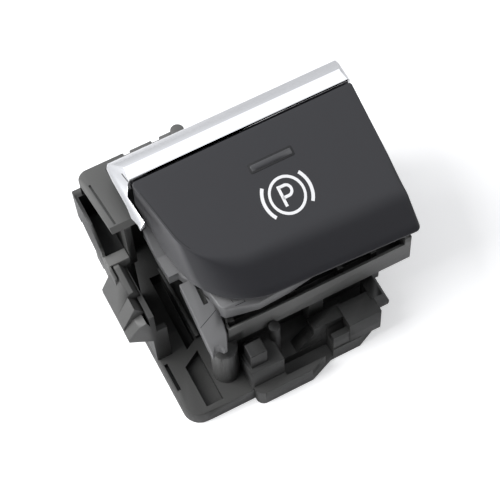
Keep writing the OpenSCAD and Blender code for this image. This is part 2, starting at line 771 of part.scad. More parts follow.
key_cap();
chrome_trim();
indicator_lens();
key_carrier();
housing();
base_cover();
hinge_pins();
return_spring();
pull_plunger();
push_plunger();
switch_mat();
contact_pills();
circuit_board();
control_chip();
board_parts();
indicator_lamp();
symbol_lamp();
indicator_light_guide();
symbol_light_guide();
connector_pins();
board_screws();
stop_buffers();
panel_spring();
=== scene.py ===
# %% [markdown]
# # Electric parking brake switch
# The switch sits in a car's centre console. A finger hooks under the lip of the black key and pulls it up,
# or presses it down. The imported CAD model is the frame: it fixes every size and every moving body. This
# lesson dresses it: smooth moulded shapes, a printed sign, satin chrome, and plastics with their grain.

# %% Load the frame
import bpy
import bmesh
import math
import numpy as np
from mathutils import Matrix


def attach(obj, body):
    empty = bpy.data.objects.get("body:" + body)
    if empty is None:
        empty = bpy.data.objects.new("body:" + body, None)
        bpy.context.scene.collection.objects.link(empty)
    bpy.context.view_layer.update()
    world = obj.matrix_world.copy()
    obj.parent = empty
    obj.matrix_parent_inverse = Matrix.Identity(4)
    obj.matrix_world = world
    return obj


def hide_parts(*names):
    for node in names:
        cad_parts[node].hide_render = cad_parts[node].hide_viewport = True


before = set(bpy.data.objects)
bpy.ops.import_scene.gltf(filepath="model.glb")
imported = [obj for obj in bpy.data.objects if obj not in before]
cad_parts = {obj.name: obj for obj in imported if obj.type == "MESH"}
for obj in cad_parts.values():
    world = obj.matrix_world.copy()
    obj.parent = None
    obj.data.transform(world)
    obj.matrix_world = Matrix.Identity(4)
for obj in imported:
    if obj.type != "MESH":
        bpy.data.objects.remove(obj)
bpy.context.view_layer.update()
MM = 0.001

# %% [markdown]
# ## The camera
# The photograph was taken from high above the front, a little to the left, with the camera tilted. The
# angles below were fitted to the edges of the key, the tower and the base plate. A camera turned by hand
# would drift off, so its three axes are worked out from the angles and put straight into a matrix.

# %% Camera
from mathutils import Matrix, Vector

AZIMUTH = math.radians(-23.4)
ELEVATION = math.radians(62.0)
ROLL = math.radians(-4.6)
CAMERA_PLACE = Vector((-59.8, -127.5, 282.0)) * MM
SENSOR_WIDTH = 36
# the focal length is 1600 pixels of a picture 500 pixels wide
FOCAL_LENGTH = SENSOR_WIDTH * 1600 / 500

camera_data = bpy.data.cameras.new("photo_camera")
camera_data.sensor_width = SENSOR_WIDTH
camera_data.lens = FOCAL_LENGTH
camera_data.clip_start = 0.01
camera_data.clip_end = 10
camera = bpy.data.objects.new("photo_camera", camera_data)
bpy.context.scene.collection.objects.link(camera)
bpy.context.scene.camera = camera

back = Vector((math.sin(AZIMUTH) * math.cos(ELEVATION), -math.cos(AZIMUTH) * math.cos(ELEVATION),
               math.sin(ELEVATION)))
right = Vector((math.cos(AZIMUTH), math.sin(AZIMUTH), 0))
up = back.cross(right)
right_rolled = math.cos(ROLL) * right + math.sin(ROLL) * up
up_rolled = math.cos(ROLL) * up - math.sin(ROLL) * right
turn = Matrix((right_rolled, up_rolled, back)).transposed().to_4x4()
camera.matrix_world = Matrix.Translation(CAMERA_PLACE) @ turn
print("camera at", [round(c, 3) for c in CAMERA_PLACE])

# %% [markdown]
# ## Light and floor
# A product photograph of black plastic needs broad soft light, or the edges vanish. One large panel stands
# at the upper left, a weaker one at the right, and the white surroundings fill the rest. The floor is pale
# and keeps the shadow; only for the camera does it glow a little, so that the background goes white.

# %% Node helpers and colours
def linear(hex_colour):
    """sRGB hex to linear: c / 12.92 below 0.04045, else ((c + 0.055) / 1.055) to the power 2.4."""
    channels = np.array([int(hex_colour[i:i + 2], 16) / 255 for i in (1, 3, 5)])
    values = np.where(channels <= 0.04045, channels / 12.92, ((channels + 0.055) / 1.055) ** 2.4)
    return (*values.tolist(), 1.0)


def add(tree, kind, links=None, settings=None, **values):
    """Adds a node, sets its properties and its input values, and links other nodes' outputs to its inputs.

    A value goes by its input's name with _ for a space, or by the input's number after the letter i."""
    node = tree.nodes.new(kind)
    for name, value in (settings or {}).items():
        setattr(node, name, value)
    for name, value in values.items():
        numbered = name[0] == "i" and name[1:].isdigit()
        node.inputs[int(name[1:]) if numbered else name.replace("_", " ")].default_value = value
    for name, source in (links or {}).items():
        tree.links.new(source, node.inputs[name])
    return node


def remap(tree, source, start, end, low=0.0, high=1.0, smooth=False):
    """Maps the range from start to end onto low to high, in a straight line or as a smooth step."""
    kind = "SMOOTHSTEP" if smooth else "LINEAR"
    return add(tree, "ShaderNodeMapRange", {"Value": source}, {"interpolation_type": kind},
               From_Min=start, From_Max=end, To_Min=low, To_Max=high).outputs[0]


def arithmetic(tree, operation, first, second):
    return add(tree, "ShaderNodeMath", {0: first, 1: second}, {"operation": operation}).outputs[0]


# %% Panels
PANEL_SIZE = 260
PANEL_AIM = Vector((0, 0, 20))


def panel(name, place, power):
    """A square area lamp at a place in mm, turned towards the middle of the switch."""
    data = bpy.data.lights.new(name, "AREA")
    data.size = PANEL_SIZE * MM
    data.energy = power
    lamp = bpy.data.objects.new(name, data)
    lamp.location = Vector(place) * MM
    lamp.rotation_mode = "QUATERNION"
    lamp.rotation_quaternion = (PANEL_AIM - Vector(place)).to_track_quat("-Z", "Y")
    bpy.context.scene.collection.objects.link(lamp)


panel("soft_panel_left", (-260, 60, 330), 1.7)
panel("soft_panel_right", (260, -140, 260), 0.15)

# %% [markdown]
# The surroundings are brighter overhead than near the horizon, a little more to the left and the back, and
# dark in front. The values were tuned until the faces came close to the photograph. Matt faces get half of
# that light, and the camera sees plain white.

# %% Surroundings
# axis of the direction, where along it the change starts and ends, and the strength before and after
UPWARD = ("Z", 0.0, 0.95, 0.3, 1.25)
LEFTWARD = ("X", -0.2, -1.0, 0.0, 0.4)
BACKWARD = ("Y", 0.2, 1.0, 0.0, 0.42)
FORWARD = ("Y", -0.2, -1.0, 0.0, -0.75)
MATT_SHARE = 0.5

world = bpy.data.worlds.new("studio")
bpy.context.scene.world = world
world.use_nodes = True
sky = world.node_tree
sky.nodes.clear()
look = add(sky, "ShaderNodeTexCoord")
axes = add(sky, "ShaderNodeSeparateXYZ", {0: look.outputs["Generated"]})
upward, leftward, backward, forward = [remap(sky, axes.outputs[axis], *change, smooth=True)
                                       for axis, *change in (UPWARD, LEFTWARD, BACKWARD, FORWARD)]
overhead = arithmetic(sky, "ADD", upward, leftward)
around = arithmetic(sky, "ADD", backward, forward)
strength = arithmetic(sky, "ADD", overhead, around)
dim = add(sky, "ShaderNodeMath", {0: strength}, {"operation": "MULTIPLY"}, i1=MATT_SHARE)
path = add(sky, "ShaderNodeLightPath")
glossy = add(sky, "ShaderNodeMix", {0: path.outputs["Is Glossy Ray"], 2: dim.outputs[0], 3: strength},
             {"data_type": "FLOAT"})
fill = add(sky, "ShaderNodeBackground", {"Strength": glossy.outputs[0]}, Color=linear("#f3f5f8"))
white = add(sky, "ShaderNodeBackground", Color=linear("#ffffff"), Strength=1.0)
seen = arithmetic(sky, "MAXIMUM", path.outputs["Is Camera Ray"], path.outputs["Is Transmission Ray"])
pick = add(sky, "ShaderNodeMixShader", {0: seen, 1: fill.outputs[0], 2: white.outputs[0]})
add(sky, "ShaderNodeOutputWorld", {"Surface": pick.outputs[0]})

bpy.context.scene.view_settings.view_transform = "Standard"
print("light: two panels and the surroundings")

# %% [markdown]
# A plain sheet of paper as floor: four corners are enough, since nothing on it is curved.

# %% Floor
def mesh_object(name, points, faces, smooth=True):
    """Makes an object from an array of points in mm and a list of faces, with the object at the origin."""
    mesh = bpy.data.meshes.new(name)
    points = np.asarray(points, float).reshape(-1, 3) * MM
    mesh.from_pydata(points.tolist(), [], [list(map(int, face)) for face in faces])
    mesh.validate()
    mesh.polygons.foreach_set("use_smooth", np.full(len(mesh.polygons), smooth))
    thing = bpy.data.objects.new(name, mesh)
    bpy.context.scene.collection.objects.link(thing)
    return thing


def blank(name):
    """A new material and its node tree, which is still empty."""
    material = bpy.data.materials.new(name)
    material.use_nodes = True
    material.node_tree.nodes.clear()
    return material, material.node_tree


FLOOR_REACH = 900
FLOOR_HEIGHT = -0.02

corners = [(x * FLOOR_REACH, y * FLOOR_REACH, FLOOR_HEIGHT) for x, y in ((-1, -1), (1, -1), (1, 1), (-1, 1))]
floor = mesh_object("floor", corners, [(0, 1, 2, 3)], False)
paper, tree = blank("white_matt_paper")
path = add(tree, "ShaderNodeLightPath")
matt = add(tree, "ShaderNodeBsdfDiffuse", Color=linear("#f4f4f5"))
glow = add(tree, "ShaderNodeEmission", {"Strength": path.outputs["Is Camera Ray"]}, Color=linear("#a8a8a8"))
both = add(tree, "ShaderNodeAddShader", {0: matt.outputs[0], 1: glow.outputs[0]})
add(tree, "ShaderNodeOutputMaterial", {"Surface": both.outputs[0]})
floor.data.materials.append(paper)

# %% [markdown]
# ## Materials
# Every plastic here is injection moulded, so its surface is the negative of the steel mould: a fine
# spark-eroded grain on the faces that are seen, a smoother one inside. The grain is a bump from noise whose
# scale comes from the real grain size. Colours are sRGB, tuned until the render came close to the photograph.

# %% Colour nodes
def mix(tree, amount, first, second, mode="MIX"):
    """Mixes two colours. The amount and both colours are constants or other nodes' outputs."""
    node = add(tree, "ShaderNodeMix", settings={"data_type": "RGBA", "blend_type": mode})
    for number, value in ((0, amount), (6, first), (7, second)):
        if isinstance(value, bpy.types.NodeSocket):
            tree.links.new(value, node.inputs[number])
        else:
            node.inputs[number].default_value = value
    return node.outputs[2]


SOFT_BORDER = 0.4


def inside(tree, position, low, high):
    """One inside a box given in mm, zero outside, with a soft border of 0.4 mm to both sides."""
    low, high = np.array(low) * MM, np.array(high) * MM
    away = add(tree, "ShaderNodeVectorMath", {0: position}, {"operation": "SUBTRACT"},
               i1=((low + high) / 2).tolist())
    away = add(tree, "ShaderNodeVectorMath", {0: away.outputs[0]}, {"operation": "ABSOLUTE"})
    away = add(tree, "ShaderNodeVectorMath", {0: away.outputs[0]}, {"operation": "SUBTRACT"},
               i1=((high - low) / 2).tolist())
    parts = add(tree, "ShaderNodeSeparateXYZ", {0: away.outputs[0]})
    most = arithmetic(tree, "MAXIMUM", parts.outputs[0], parts.outputs[1])
    most = arithmetic(tree, "MAXIMUM", most, parts.outputs[2])
    return remap(tree, most, SOFT_BORDER * MM, -SOFT_BORDER * MM)


# %% Moulded plastic
PATCH_MM = 9
BUMP_MM = 0.02
ROUGHNESS_SWING = 0.05
POCKET_MM = 9
POCKET_CLOSED, POCKET_OPEN = 0.15, 0.5
LEFT_STARTS, LEFT_FULL = -0.8, -0.9


def moulded(name, colour, roughness, grain_mm, depth, tint=0.05, ior=1.5, coat=0.0, painted_pocket_shade=1.0, side=None,
            painted_light_and_shade=()):
    """Moulded plastic: noise of one grain size bumps the surface, a broad noise shifts the colour a little.

    painted_pocket_shade is the share of the colour that is left in a narrow pocket: painted shade. side is a
    lighter colour painted on faces that look left: painted light. painted_light_and_shade are boxes in mm,
    each with the share of the colour that is left inside it: painted shade below one, painted light above
    one."""
    material, tree = blank(name)
    place = add(tree, "ShaderNodeTexCoord")
    # one noise cell is about one unit divided by the scale, and a unit is a metre
    grain = add(tree, "ShaderNodeTexNoise", {"Vector": place.outputs["Object"]},
                Scale=1 / (grain_mm * MM), Detail=2.0)
    broad = add(tree, "ShaderNodeTexNoise", {"Vector": place.outputs["Object"]},
                Scale=1 / (PATCH_MM * MM), Detail=3.0)
    base = np.array(linear(colour)[:3])
    darker, lighter = (*(base * (1 - tint)).tolist(), 1), (*(base * (1 + tint)).tolist(), 1)
    shade = mix(tree, broad.outputs["Fac"], darker, lighter)
    # painted light: faces that look left, towards the main panel, get the lighter side colour
    if side:
        normal = add(tree, "ShaderNodeSeparateXYZ", {0: place.outputs["Normal"]})
        painted_left_light = remap(tree, normal.outputs["X"], LEFT_STARTS, LEFT_FULL)
        shade = mix(tree, painted_left_light, shade, linear(side))
    # painted shade: ambient occlusion darkens the colour in narrow pockets, where little light reaches
    if painted_pocket_shade < 1:
        open_sky = add(tree, "ShaderNodeAmbientOcclusion", settings={"samples": 8}, Distance=POCKET_MM * MM)
        painted_shade_share = remap(tree, open_sky.outputs["AO"], POCKET_CLOSED, POCKET_OPEN, painted_pocket_shade, 1.0, smooth=True)
        shade = mix(tree, 1.0, shade, painted_shade_share, "MULTIPLY")
    # painted shade and painted light: inside each box the colour is multiplied by its share
    for low, high, share in painted_light_and_shade:
        mask = inside(tree, place.outputs["Object"], low, high)
        shade = mix(tree, mask, shade, (share, share, share, 1), "MULTIPLY")
    polish = remap(tree, grain.outputs["Fac"], 0, 1, roughness - ROUGHNESS_SWING, roughness + ROUGHNESS_SWING)
    bump = add(tree, "ShaderNodeBump", {"Height": grain.outputs["Fac"]}, Strength=depth,
               Distance=BUMP_MM * MM)
    surface = add(tree, "ShaderNodeBsdfPrincipled", {"Base Color": shade, "Roughness": polish,
                  "Normal": bump.outputs[0]}, IOR=ior, Coat_Weight=coat)
    add(tree, "ShaderNodeOutputMaterial", {"Surface": surface.outputs[0]})
    return material


# %% [markdown]
# Some places are darker in the photograph than plain plastic comes out here, so each gets a box in mm with
# the share of the colour that is left in it: painted shade. Two faces are lighter there, and their share is
# above
# one: painted light. These shares are tuned to the one photograph: the real plastic has one colour all over.

# %% Black and grey plastics
# boxes of painted shade in mm, where the share is below one
LEFT_PAINTED_SHADE = ((-25.3, -0.6, 3), (-15.4, 20.2, 34.9), 0.2)
WALL_TOP_PAINTED_SHADE = ((-27.6, -4.9, 4.4), (-24.2, 9.4, 23.3), 0.35)
TOWER_PAINTED_SHADE = ((-30.4, 9.6, 21.5), (-25, 20.2, 35.0), 0.2)
FRONT_PAINTED_SHADE = ((-14.7, -14.4, 4.4), (21, -11, 20), 0.4)
CLIPS_PAINTED_SHADE = ((-14.7, -19.0, 6.4), (22, -11, 20), 0.38)
PILLAR_PAINTED_SHADE = ((-17.3, -17.0, 4.6), (-12.8, -10.0, 17), 0.2)
# boxes of painted light in mm, where the share is above one
BEAM_PAINTED_LIGHT = ((-15.8, -13.2, 13.6), (23.5, -12.0, 20.4), 1.7)
BLOCK_PAINTED_LIGHT = ((-30.0, 6.4, 24.8), (-25.2, 9.6, 26.2), 1.9)

# the key's faces that look left get painted light in the side colour
key_black = moulded("soft_grained_abs_black", "#232327", 0.5, 0.16, 0.5, 0.03, side="#58585a")
frame_painted_shading = (LEFT_PAINTED_SHADE, WALL_TOP_PAINTED_SHADE, TOWER_PAINTED_SHADE, BEAM_PAINTED_LIGHT, BLOCK_PAINTED_LIGHT, PILLAR_PAINTED_SHADE)
frame_black = moulded("glass_filled_nylon_black", "#535352", 0.5, 0.22, 0.6, 0.07, painted_pocket_shade=0.3,
                      painted_light_and_shade=frame_painted_shading)
base_painted_shading = (LEFT_PAINTED_SHADE, FRONT_PAINTED_SHADE, CLIPS_PAINTED_SHADE, PILLAR_PAINTED_SHADE)
base_black = moulded("spark_eroded_nylon_black", "#373736", 0.55, 0.25, 0.8, 0.08, painted_pocket_shade=0.3,
                     painted_light_and_shade=base_painted_shading)
carrier_grey = moulded("polished_mould_acetal_grey", "#6f6f70", 0.4, 0.3, 0.25, 0.04, painted_pocket_shade=0.3)
print("plastics:", key_black.name, frame_black.name, base_black.name, carrier_grey.name)

# %% [markdown]
# Satin chrome is nickel and chromium plated on plastic. The plate copies the slight waves of the moulding,
# so the reflections wander a little. A metal keeps its default IOR, and its colour is its reflection.

# %% Metals
METAL_SWING = 0.04
SMOOTHEST = 0.02


def metal(name, colour, roughness, wave_mm, depth, stretch=(1, 1, 1)):
    """Metal skin: noise waves the normal and changes the roughness, stretched along the drawing direction."""
    material, tree = blank(name)
    place = add(tree, "ShaderNodeTexCoord")
    pull = add(tree, "ShaderNodeMapping", {"Vector": place.outputs["Object"]}, Scale=stretch)
    wave = add(tree, "ShaderNodeTexNoise", {"Vector": pull.outputs[0]}, Scale=1 / (wave_mm * MM), Detail=2.0)
    smoothest = max(roughness - METAL_SWING, SMOOTHEST)
    polish = remap(tree, wave.outputs["Fac"], 0, 1, smoothest, roughness + METAL_SWING)
    bump = add(tree, "ShaderNodeBump", {"Height": wave.outputs["Fac"]}, Strength=depth, Distance=BUMP_MM * MM)
    surface = add(tree, "ShaderNodeBsdfPrincipled", {"Roughness": polish, "Normal": bump.outputs[0]},
                  Base_Color=linear(colour), Metallic=1.0)
    add(tree, "ShaderNodeOutputMaterial", {"Surface": surface.outputs[0]})
    return material


satin_chrome = metal("satin_chrome_plate", "#f6f6f8", 0.2, 5, 0.15)
drawn_steel = metal("drawn_stainless_steel", "#b4b6b8", 0.3, 0.4, 0.4, (0.1, 1, 1))
spring_strip = metal("rolled_spring_steel", "#9fa1a4", 0.34, 0.5, 0.4, (1, 0.1, 1))
gold_plate = metal("gold_plated_bronze", "#d8b460", 0.25, 0.5, 0.2)

# %% [markdown]
# The clear light guides are polycarbonate, the window is the same with smoke pigment, and the small pieces
# inside are silicone, carbon, epoxy and ceramic. They hardly show, but each gets the finish of its own
# material.

# %% Clear and small materials
RIPPLE_MM = 2.0
RIPPLE_DEPTH_MM = 0.05


def clear(name, colour, roughness):
    """Clear moulded plastic: light passes through, and a slow ripple from the mould bends it a little."""
    material, tree = blank(name)
    place = add(tree, "ShaderNodeTexCoord")
    ripple = add(tree, "ShaderNodeTexNoise", {"Vector": place.outputs["Object"]},
                 Scale=1 / (RIPPLE_MM * MM), Detail=1.0)
    bump = add(tree, "ShaderNodeBump", {"Height": ripple.outputs["Fac"]}, Strength=0.1,
               Distance=RIPPLE_DEPTH_MM * MM)
    surface = add(tree, "ShaderNodeBsdfPrincipled", {"Normal": bump.outputs[0]}, Base_Color=linear(colour),
                  Roughness=roughness, IOR=1.58, Transmission_Weight=0.85)
    add(tree, "ShaderNodeOutputMaterial", {"Surface": surface.outputs[0]})
    return material


clear_guide = clear("clear_polycarbonate", "#e4ecef", 0.12)
smoked_lens = moulded("smoked_polycarbonate", "#343437", 0.3, 1.5, 0.1, 0.03, 1.58, 0.3)
silicone = moulded("moulded_silicone_grey", "#8f9499", 0.6, 0.4, 0.4, 0.04, 1.41)
carbon = moulded("carbon_filled_silicone", "#1d1d1f", 0.65, 0.2, 0.5, 0.08, 1.45)
board_green = moulded("solder_mask_green", "#2f6b45", 0.3, 0.6, 0.3, 0.06, 1.5, 0.4)
chip_epoxy = moulded("transfer_moulded_epoxy", "#26272a", 0.5, 0.15, 0.5, 0.05, 1.55)
ceramic = moulded("sintered_ceramic", "#b59a6a", 0.45, 0.2, 0.3, 0.08, 1.6)
lamp_resin = moulded("cast_lamp_resin", "#f0e8cc", 0.25, 1.0, 0.1, 0.03, 1.54, 0.5)
buffer_rubber = moulded("moulded_rubber_black", "#1e1e20", 0.7, 0.2, 0.6, 0.08, 1.52)
natural_acetal = moulded("natural_acetal", "#dcdcd8", 0.35, 0.5, 0.2, 0.02, 1.48)
white_ink = moulded("screen_printed_ink_white", "#f0f0f2", 0.45, 0.12, 0.3, 0.02)
# painted shadow: a dark material for thin strips that stand in for the shade in gaps and grooves
gap_black = moulded("shadow_gap_black", "#141416", 0.7, 0.2, 0.3, 0.05)

# %% [markdown]
# ## Softened copies of the CAD pieces
# No moulded edge is sharp: the mould cutter leaves a radius of a few tenths of a millimetre, and it is this
# radius that catches the light. The CAD mesh is loose triangles, so a copy is merged and its flat faces are
# joined. A radius wider than a narrow face would fold over itself, so each edge first gets its own room:
# less than half the distance to the next edge of the same face. The bevel's width is that weight times the
# radius.

# %% Room for an edge radius
ROOM_SHARE = 0.45
IN_LINE_SHARE = 0.25
NO_LIMIT = 1.0


def edge_room(work):
    """For each edge of a bmesh, the widest radius that its two faces leave room for, in metres."""
    room = np.full(len(work.edges), NO_LIMIT)
    for face in work.faces:
        ends = np.array([[edge.verts[0].co[:], edge.verts[1].co[:]] for edge in face.edges])
        names = np.array([[edge.verts[0].index, edge.verts[1].index] for edge in face.edges])
        start, along = ends[:, 0], ends[:, 1] - ends[:, 0]
        length = np.linalg.norm(along, axis=1)
        # distance of every end point from every edge of the face
        points = ends.reshape(-1, 3)
        offset = points[None] - start[:, None]
        t = np.einsum("ijk,ik->ij", offset, along) / np.maximum(length[:, None] ** 2, 1e-18)
        near = np.linalg.norm(offset - np.clip(t, 0, 1)[..., None] * along[:, None], axis=2)
        own = (names.reshape(-1)[None] == names[:, :1]) | (names.reshape(-1)[None] == names[:, 1:])
        # an edge's own ends, and the far end of a neighbour nearly in line with it, take no room
        other = np.repeat(np.arange(len(ends)), 2)
        touching = own[:, 0::2] | own[:, 1::2]
        in_line = touching[:, other] & (near < IN_LINE_SHARE * length[other][None])
        near[own | in_line] = NO_LIMIT
        # the edge keeps the least room that its faces and its own length leave
        for edge, value in zip(face.edges, np.minimum(near.min(1) * ROOM_SHARE, length * ROOM_SHARE)):
            room[edge.index] = min(room[edge.index], value)
    return room


# %% [markdown]
# Even so a corner where many edges meet can fold. The bevelled mesh is looked over: a triangle that faces
# away from its own polygon, or a polygon that faces away from its neighbour, marks a fold. The edges next
# to it get half their radius, and the mesh is looked over again.

# %% Folds
SPECK_AREA = 1e-11
SAME_WAY = 0.9
TURNED_AWAY = -0.6
FOLD_ROUNDS = 14
FOLD_REACH, FOLD_STEP = 1.3, 0.35
LEAST_SHARE = 0.1


def read(elements, field, width=1, kind=float):
    """One field of every element as an array, with a row for each element where the field holds several."""
    values = np.zeros(len(elements) * width, kind)
    elements.foreach_get(field, values)
    return values.reshape(-1, width) if width > 1 else values


def folded_points(thing):
    """Corners of the folded triangles in the bevelled mesh, in metres."""
    result = thing.evaluated_get(bpy.context.evaluated_depsgraph_get())
    mesh = result.to_mesh()
    mesh.calc_loop_triangles()
    places, sides = read(mesh.vertices, "co", 3), read(mesh.polygons, "normal", 3)
    triangles = mesh.loop_triangles
    owners = read(triangles, "polygon_index", kind=int)
    agreement = (read(triangles, "normal", 3) * sides[owners]).sum(1)
    folded = (read(triangles, "area") > SPECK_AREA) & (agreement < SAME_WAY)
    found = [places[read(triangles, "vertices", 3, int)[folded]].reshape(-1, 3)]
    # the two loops of each edge, and the polygons that they belong to
    edge_of_loop = read(mesh.loops, "edge_index", kind=int)
    total = read(mesh.polygons, "loop_total", kind=int)
    polygon_of_loop = np.repeat(np.arange(len(total)), total)
    order = np.argsort(edge_of_loop, kind="stable")
    pairs = order[:len(order) // 2 * 2].reshape(-1, 2)
    same = edge_of_loop[pairs[:, 0]] == edge_of_loop[pairs[:, 1]]
    facing = (sides[polygon_of_loop[pairs[:, 0]]] * sides[polygon_of_loop[pairs[:, 1]]]).sum(1)
    doubled = edge_of_loop[pairs[same & (facing < TURNED_AWAY), 0]]
    found.append(places[read(mesh.edges, "vertices", 2, int)[doubled]].reshape(-1, 3))
    result.to_mesh_clear()
    return np.vstack(found)


def spare_folds(thing, radius):
    """Halves the radius of edges that lie next to a fold, and looks a little further each round."""
    mesh = thing.data
    start, end = read(mesh.vertices, "co", 3)[read(mesh.edges, "vertices", 2, int)].transpose(1, 0, 2)
    along = end - start
    squared = np.maximum((along ** 2).sum(1), 1e-18)
    weights = read(mesh.attributes["bevel_weight_edge"].data, "value")
    for attempt in range(FOLD_ROUNDS):
        points = folded_points(thing)
        if not len(points) or not weights.any():
            break
        offset = points[None] - start[:, None]
        t = np.clip((offset * along[:, None]).sum(2) / squared[:, None], 0, 1)
        near = np.linalg.norm(offset - t[..., None] * along[:, None], axis=2).min(1)
        weights = np.where(near < (FOLD_REACH + FOLD_STEP * attempt) * radius, weights * 0.5, weights)
        weights[weights < LEAST_SHARE] = 0
        mesh.attributes["bevel_weight_edge"].data.foreach_set("value", weights)
        mesh.update()
    return int((weights > 0).sum()), len(points)


# %% Rounded copies
MERGE_MM = 0.004
FLAT_DEGREES = 1.0
LEAST_BEND = 20


def carved(mesh, boxes):
    """Cuts boxes out of a mesh with exact Boolean modifiers, and gives the mesh that is left."""
    thing = bpy.data.objects.new("carving", mesh)
    bpy.context.scene.collection.objects.link(thing)
    tools = []
    for low, high in boxes:
        corners = np.array(np.meshgrid(*zip(low, high), indexing="ij")).reshape(3, -1).T
        sides = [(0, 1, 3, 2), (4, 6, 7, 5), (0, 4, 5, 1), (2, 3, 7, 6), (0, 2, 6, 4), (1, 5, 7, 3)]
        tools.append(mesh_object("carving_tool", corners, sides, False))
        cut = thing.modifiers.new("cut", "BOOLEAN")
        cut.operation, cut.solver, cut.object = "DIFFERENCE", "EXACT", tools[-1]
    result = thing.evaluated_get(bpy.context.evaluated_depsgraph_get())
    left = bpy.data.meshes.new_from_object(result)
    for extra in [thing] + tools:
        bpy.data.objects.remove(extra)
    return left


def merged(mesh):
    """A bmesh of a mesh, with the points that lie on each other merged."""
    work = bmesh.new()
    work.from_mesh(mesh)
    bmesh.ops.remove_doubles(work, verts=work.verts, dist=MERGE_MM * MM)
    return work


def rounded_copy(node, radius_mm, material, body, segments=2, crease=LEAST_BEND, cuts=()):
    """Copies a CAD node's mesh, merges it, joins its flat faces and rounds its sharp edges with a live bevel.

    crease is the bend in degrees from which an edge is drawn hard, and cuts are boxes in mm to take out."""
    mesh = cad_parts[node].data.copy()
    mesh.materials.clear()
    work = merged(mesh)
    if cuts:
        work.to_mesh(mesh)
        work.free()
        mesh = carved(mesh, cuts)
        mesh.materials.clear()
        work = merged(mesh)
    mesh.name = node + "_moulded"
    bmesh.ops.dissolve_degenerate(work, edges=work.edges, dist=MERGE_MM * MM)
    bmesh.ops.dissolve_limit(work, angle_limit=math.radians(FLAT_DEGREES), verts=work.verts, edges=work.edges)
    for group in (work.verts, work.edges, work.faces):
        group.index_update()
    room = edge_room(work)
    weight = work.edges.layers.float.new("bevel_weight_edge")
    hard = []
    for edge in work.edges:
        angle = math.degrees(edge.calc_face_angle(0)) if edge.is_manifold else 180
        share = min(1.0, room[edge.index] / (radius_mm * MM))
        edge[weight] = share if share > LEAST_SHARE and angle > max(crease, LEAST_BEND) else 0.0
        hard.append(angle > crease)
    work.to_mesh(mesh)
    work.free()
    mesh.polygons.foreach_set("use_smooth", np.full(len(mesh.polygons), True))
    thing = bpy.data.objects.new(node + "_moulded", mesh)
    bpy.context.scene.collection.objects.link(thing)
    soften = thing.modifiers.new("edge_radius", "BEVEL")
    soften.width = radius_mm * MM
    soften.segments = segments
    soften.limit_method = "WEIGHT"
    soften.harden_normals = True
    soften.use_clamp_overlap = False
    mesh.materials.append(material)
    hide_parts(node)
    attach(thing, body)
    rounded, corners_left = spare_folds(thing, radius_mm * MM)
    print(thing.name, "faces", len(mesh.polygons), "rounded edges", rounded, "fold corners", corners_left)
    # what stays without a radius keeps a hard edge in the shading
    weights = read(mesh.attributes["bevel_weight_edge"].data, "value")
    marks = mesh.attributes.new("sharp_edge", "BOOLEAN", "EDGE")
    marks.data.foreach_set("value", np.array(hard) & (weights == 0))


# the notch beside the cheek, and the groove that leaves the beam a thin front wall
CHEEK_NOTCH = ((-17.7, -7.3, 20.5), (-16.75, -4.0, 27.5))
BEAM_GROOVE = ((-15.0, -11.9, 16.0), (20.9, -10.7, 20.3))
rounded_copy("chrome_trim", 0.1, satin_chrome, "key_body", 3, 5)
rounded_copy("key_carrier", 0.22, carrier_grey, "key_body", cuts=[CHEEK_NOTCH])
rounded_copy("housing", 0.16, frame_black, "housing_body", cuts=[BEAM_GROOVE])
rounded_copy("base_cover", 0.2, base_black, "housing_body")

# %% [markdown]
# ## The key cap
# The key is one moulding: a top that slopes 20 degrees, a soft crease, a front that turns down to the lip,
# and a big radius at the front left. The CAD solid is a hull with facets. Here it is a surface on a grid:
# one direction runs round the outline, the other from the middle of the top over the crease, down the side,
# round the lip and back up inside.

# %% Outline of the key
KEY_LEFT, KEY_RIGHT, KEY_BACK = -23.0, 23.0, 11.8
TRIM_ROOM = 1.7
LEFT_SLANT, FRONT_SLANT = 1.7, 1.2
BACK_OVERLAP = 0.2
TOP_AT_BACK = 41.0
SLOPE = math.tan(math.radians(20))


def top_height(y):
    """Height of the key's top in mm: it falls from the back edge with the slope's tangent."""
    return TOP_AT_BACK - (KEY_BACK - y) * SLOPE


def loop(points, radii, arc_steps, side_steps):
    """A closed outline: an arc replaces each corner, and each side between them is cut in even steps."""
    points = np.asarray(points, float)
    before, after = np.roll(points, 1, 0) - points, np.roll(points, -1, 0) - points
    before /= np.linalg.norm(before, axis=1, keepdims=True)
    after /= np.linalg.norm(after, axis=1, keepdims=True)
    half = np.arccos(np.clip((before * after).sum(1), -1, 1)) / 2
    radii = np.asarray(radii, float)
    reach = radii / np.tan(half)
    middle = before + after
    middle /= np.linalg.norm(middle, axis=1, keepdims=True)
    centre = points + middle * (radii / np.sin(half))[:, None]
    parts = []
    for i in range(len(points)):
        start, end = points[i] + before[i] * reach[i], points[i] + after[i] * reach[i]
        a0, a1 = start - centre[i], end - centre[i]
        t = np.linspace(0, 1, arc_steps[i])[:, None]
        sweep = np.pi - 2 * half[i]
        arc = centre[i] + (np.sin((1 - t) * sweep) * a0 + np.sin(t * sweep) * a1) / np.sin(sweep)
        nxt = (i + 1) % len(points)
        goal = points[nxt] + before[nxt] * reach[nxt]
        s = np.linspace(0, 1, side_steps[i] + 1)[1:-1, None]
        parts += [arc, end + (goal - end) * s]
    return np.vstack(parts)


